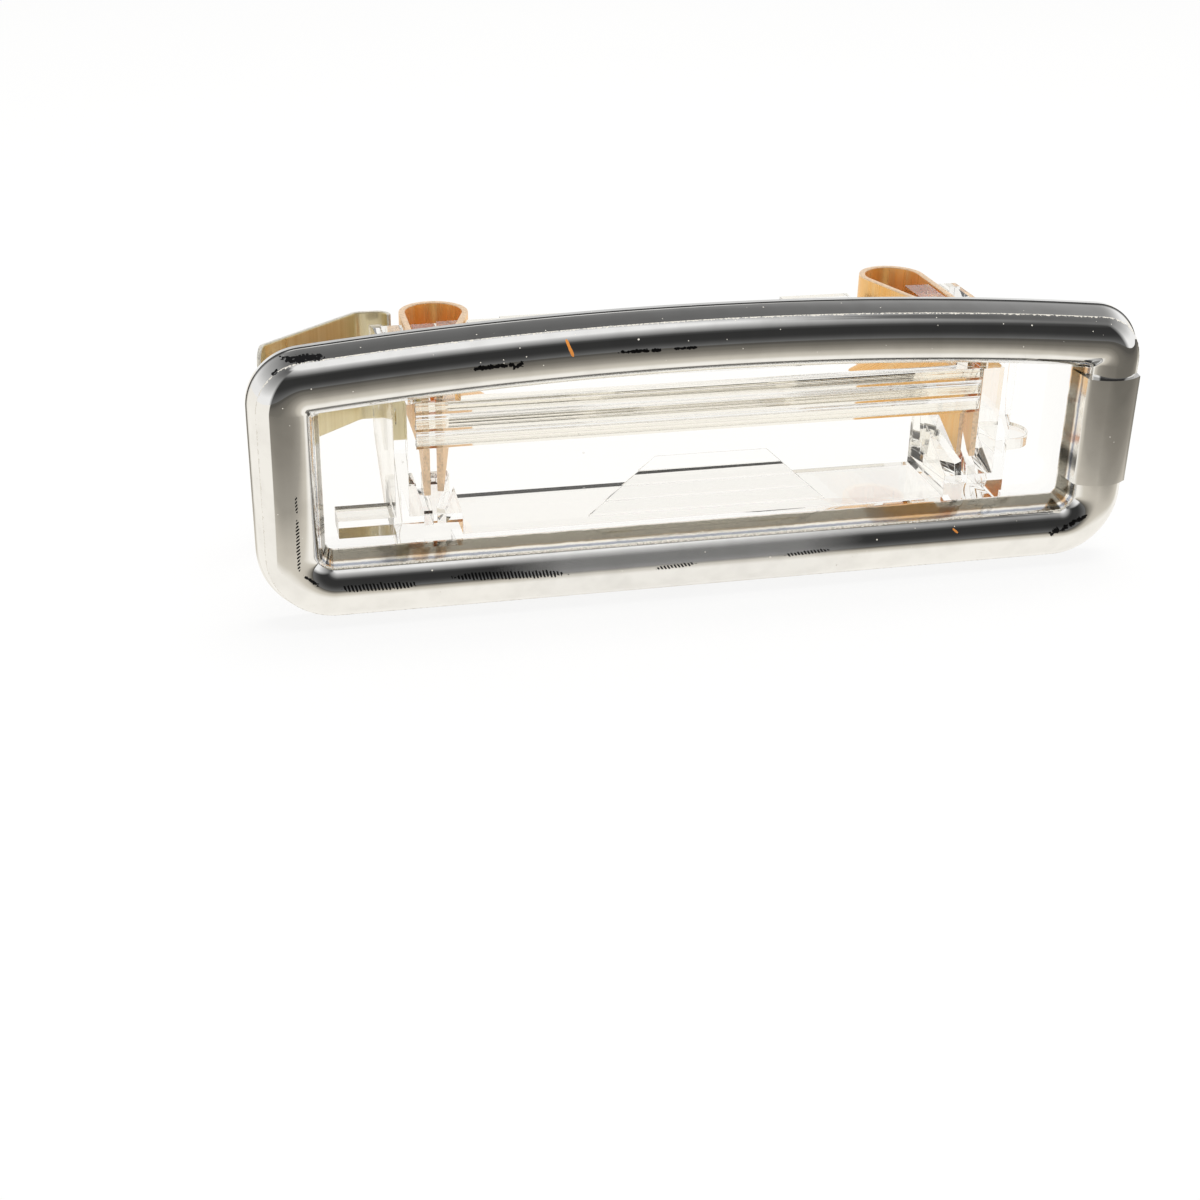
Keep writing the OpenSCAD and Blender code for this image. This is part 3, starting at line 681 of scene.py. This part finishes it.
# A sheet on a grid of distance along the strip and height; cells above the leg and inside the
# hole are left out, and the points nearest the hole are moved onto its circle.
def makeClip():
    s, c = clipShape, contactShape
    startX = c["boxMiddle"] - c["boxHalf"] + s["wall"] + s["fit"] + s["thickness"] / 2
    steps = [(s["legLength"], 90 + s["legLean"], s["bend"]),
             (s["over"], s["armTurn"], s["armBend"]),
             (s["arm"], s["lipTurn"], s["lipBend"]), (s["lip"], 0, 0)]
    path = stripPath((startX, s["frontY"]), 90 - s["legLean"], steps, s["spacing"])
    walked = np.r_[0, np.cumsum(np.linalg.norm(np.diff(path, axis=0), axis=1))]
    leg, legHeight, radius = s["legLength"], s["legHeight"], s["holeRadius"]
    u = np.r_[np.linspace(0, leg, int(leg / s["cell"]) + 1),
              leg + np.linspace(0, walked[-1] - leg, s["armPoints"])[1:]]
    v = np.r_[np.linspace(0, legHeight, int(legHeight / s["cell"]) + 1),
              np.linspace(legHeight, s["height"], s["upperPoints"])[1:]]
    along, up = np.meshgrid(u, v, indexing="ij")
    holeU, holeV = s["holeY"] - s["frontY"], s["holeZ"] - s["low"]
    faces = gridFaces(len(u), len(v), False, False)
    middleU, middleV = along.ravel()[faces].mean(1), up.ravel()[faces].mean(1)
    keep = np.hypot(middleU - holeU, middleV - holeV) > radius
    keep &= ~((middleU < leg) & (middleV > legHeight))
    away = np.hypot(along - holeU, up - holeV)
    rim = abs(away - radius) < s["cell"] * s["rimReach"]
    scale = np.where(rim, radius / np.maximum(away, s["cell"] / 100), 1)
    # The free end has rounded corners: the height there shrinks along a quarter circle
    inEnd = np.clip((along - (walked[-1] - s["corner"])) / s["corner"], 0, 1)
    less = s["corner"] * (1 - np.sqrt(1 - inEnd ** 2))
    middle = s["height"] / 2
    up = middle + (up - middle) * (middle - less) / middle
    along, up = holeU + (along - holeU) * scale, holeV + (up - holeV) * scale
    x, y = np.interp(along, walked, path[:, 0]), np.interp(along, walked, path[:, 1])
    points = np.stack([x, y, s["low"] + up], -1).reshape(-1, 3)
    used, faces = np.unique(faces[keep], return_inverse=True)
    piece = meshPiece("clipStrip", points[used], faces.reshape(-1, 4).tolist(),
                      [clipMetal, clipCut], s["sharpFrom"])
    thick = piece.modifiers.new("thickness", "SOLIDIFY")
    thick.thickness = s["thickness"] * mm
    thick.offset = 0
    thick.material_offset_rim = 1
    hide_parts("spring_clip")


makeClip()
print("number plate lamp: clip made")

view = dict(place=(-0.038284, -0.124494, 0.052272), right=(0.9743175, -0.2244995, 0.0174758),
            up=(0.0849652, 0.4383960, 0.8947569), ahead=(0.2085338, 0.8702924, -0.4462115),
            lens=54, sensor=36, near=0.005)


def makeCamera():
    data = bpy.data.cameras.new("photoCamera")
    data.lens, data.sensor_width, data.clip_start = view["lens"], view["sensor"], view["near"]
    camera = bpy.data.objects.new("photoCamera", data)
    scene.collection.objects.link(camera)
    columns = np.c_[view["right"], view["up"], [-a for a in view["ahead"]], view["place"]]
    camera.matrix_world = Matrix([*columns.tolist(), (0, 0, 0, 1)])
    scene.camera = camera


# Lengths in millimetres. What metal mirrors of the floor is a painted reflection, given as
# (distance ahead of the lamp in units of 200 mm, colour), with more distance for a point past its
# right or left end.
floorLook = dict(level=-10.5, reach=900, colour=(0.9, 0.89, 0.87), darker=0.985, roughness=0.9,
                 glow=0.84, throughGlow=0.05, ahead=200, near=8, left=1.5, right=5,
                 corner=-33.5, brightFrom=50.5, brightEdge=(0.004, 0.008),
                 mirrored=[(0, (1.0, 0.97, 0.91)), (0.025, (0.68, 0.64, 0.56)),
                           (0.05, (0.60, 0.56, 0.49)), (0.09, (0.38, 0.355, 0.31)),
                           (0.15, (0.275, 0.255, 0.22)), (0.26, (0.18, 0.168, 0.145)),
                           (0.585, (0.14, 0.13, 0.115)), (1, (0.10, 0.095, 0.085))])


# A plain pale floor that the camera and the clear plastic see nearly white, with the lamp's shadow,
# while metal mirrors a painted table: an emission seen only by glossy rays, painted bright near the
# lamp and dim ahead of it.
def makeFloor():
    look = floorLook
    material, nodes, shader, point = newMaterial("paleFloor")
    grain = placeGroup(nodes, grainGroup, point, Fine=900.0, Coarse=20.0)
    dark = tuple(look["darker"] * c for c in look["colour"])
    tint = ramp(nodes, grain["Broad Cloud"], [(0.3, dark), (0.7, look["colour"])])
    feed(shader.inputs["Base Color"], tint)
    feed(shader.inputs["Roughness"], look["roughness"])
    feed(shader.inputs["Specular IOR Level"], 0)
    path = addNode(nodes, "ShaderNodeLightPath").outputs
    through = path["Is Transmission Ray"]
    strength = maths(nodes, "MULTIPLY_ADD", through, look["throughGlow"], 1.0)
    inputs = {"Color": (1, 1, 1), "Strength": strength}
    glow = addNode(nodes, "ShaderNodeEmission", inputs).outputs[0]
    seen = maths(nodes, "MAXIMUM", path["Is Camera Ray"], through)
    pale = mixShaders(nodes, maths(nodes, "MULTIPLY", seen, look["glow"]), shader.outputs[0], glow)
    # The distance ahead of the lamp, and past its ends, chooses the brightness
    place = axes(nodes, point)
    half, unit = bezelShape["halfLength"] * mm, look["ahead"] * mm
    east = maths(nodes, "SUBTRACT", place["X"], half, clamp=True)
    west = maths(nodes, "MULTIPLY_ADD", place["X"], -1.0, -half, clamp=True)
    out = maths(nodes, "MULTIPLY_ADD", east, look["right"], -look["near"] * mm / unit)
    out = maths(nodes, "MULTIPLY_ADD", west, look["left"], out)
    ahead = maths(nodes, "MULTIPLY_ADD", place["Y"], -1 / unit, out, clamp=True)
    fall = ramp(nodes, ahead, look["mirrored"])
    # Left of a line from the lamp's corner the painted table is bright right up; the turn from
    # straight ahead is counted in half circles
    across = maths(nodes, "MULTIPLY_ADD", place["X"], -1.0, look["corner"] * mm)
    turn = maths(nodes, "ARCTAN2", across, maths(nodes, "MULTIPLY", place["Y"], -1.0))
    start, (before, after) = look["brightFrom"] / 180, look["brightEdge"]
    bright = ramp(nodes, maths(nodes, "MULTIPLY", turn, 1 / pi),
                  [(start - before, 0.0), (start + after, 1.0)])
    colour = mix(nodes, bright, fall, look["mirrored"][0][1])
    paintedTable = addNode(nodes, "ShaderNodeEmission", {"Color": colour}).outputs[0]
    # A ray through glass counts as glossy too, so that the mirrored share leaves it out
    mirrored = maths(nodes, "SUBTRACT", path["Is Glossy Ray"], through, clamp=True)
    feed(nodes["Material Output"].inputs["Surface"], mixShaders(nodes, mirrored, pale, paintedTable))
    mesh = bpy.data.meshes.new("floor")
    r, level = look["reach"] * mm, look["level"] * mm
    corners = [(-r, -r, level), (r, -r, level), (r, r, level), (-r, r, level)]
    mesh.from_pydata(corners, [], [(0, 1, 2, 3)])
    mesh.materials.append(material)
    floor = bpy.data.objects.new("floor", mesh)
    scene.collection.objects.link(floor)
    return material


# Brightness by elevation in degrees, on the camera's side (front) and elsewhere (rest); facing
# is the share of the front by azimuth in degrees from the camera's side, left to right
skyLook = dict(diffuse=0.75, glass=0.94, seenThrough=(1.02, 1.01, 0.99),
               front=[(-12, 0.20), (-4, 0.17), (3, 0.13), (9, 0.085), (16, 0.05), (22, 0.038),
                      (40, 0.036), (47, 0.075), (54, 0.26), (60, 0.42), (66, 0.62), (72, 0.95)],
               rest=[(-20, 1.0), (10, 0.95), (22, 0.62), (32, 0.42), (42, 0.30),
                     (50, 0.19), (60, 0.13), (64, 0.15), (68, 0.55), (72, 0.95)],
               facing=[(-56, 0.0), (-48, 1.0), (55, 1.0), (68, 0.0)])


# The studio round the lamp, by height and side: white table below, white soft box above, a
# dark room on the camera's side and a grey wall behind.
def makeSky():
    scene.world = bpy.data.worlds.new("studio")
    nodes = nodesOf(scene.world)
    x, y, z = axes(nodes, addNode(nodes, "ShaderNodeTexCoord").outputs["Generated"])
    # Elevation from 0, straight down, to 1, straight up
    height = maths(nodes, "MULTIPLY_ADD", maths(nodes, "ARCSINE", z), 1 / pi, 0.5)
    front, rest = (ramp(nodes, height, [(up / 180 + 0.5, grey) for up, grey in skyLook[name]])
                   for name in ("front", "rest"))
    # Azimuth from 0 to 1, with 0.5 on the camera's side
    turn = maths(nodes, "ARCTAN2", x, maths(nodes, "MULTIPLY", y, -1.0))
    side = maths(nodes, "MULTIPLY_ADD", turn, 0.5 / pi, 0.5)
    facing = ramp(nodes, side, [(aside / 360 + 0.5, share) for aside, share in skyLook["facing"]])
    path = addNode(nodes, "ShaderNodeLightPath").outputs
    glass = maths(nodes, "MULTIPLY", path["Is Transmission Ray"], skyLook["glass"])
    colour = mix(nodes, facing, rest, front)
    colour = mix(nodes, glass, colour, skyLook["seenThrough"])
    colour = mix(nodes, path["Is Diffuse Ray"], colour, (skyLook["diffuse"],) * 3)
    colour = mix(nodes, path["Is Camera Ray"], colour, (1, 1, 1))
    feed(nodes["Background"].inputs["Color"], colour)
    feed(nodes["Background"].inputs["Strength"], 1)


# Metres and watts
lampLook = dict(place=(0.05, 0.02, 0.45), size=0.3, power=1.2)


# A round soft lamp aimed at the origin, which metal and plastic don't show.
def makeLamp():
    data = bpy.data.lights.new("softAbove", "AREA")
    data.shape, data.size, data.energy = "DISK", lampLook["size"], lampLook["power"]
    lamp = bpy.data.objects.new("softAbove", data)
    scene.collection.objects.link(lamp)
    lamp.location = lampLook["place"]
    lamp.rotation_mode = "QUATERNION"
    lamp.rotation_quaternion = (-lamp.location).to_track_quat("-Z", "Y")
    lamp.visible_glossy = False
    lamp.visible_transmission = False


makeCamera()
floorMaterial = makeFloor()
makeSky()
makeLamp()
scene.view_settings.view_transform = "Standard"
scene.cycles.max_bounces = 24  # light is reflected many times inside the clear plastic
scene.cycles.transmission_bounces = 24
scene.cycles.glossy_bounces = 16
print("number plate lamp: camera, floor and light made")

for owner in (plating, flankPaintedReflections, clearPlastic, copper, copperCut, clipMetal, clipCut,
              floorMaterial, scene.world):
    layOut(owner.node_tree)
for group in (grainGroup, speckGroup, markGroup):
    layOut(group)
print("number plate lamp: nodes laid out")
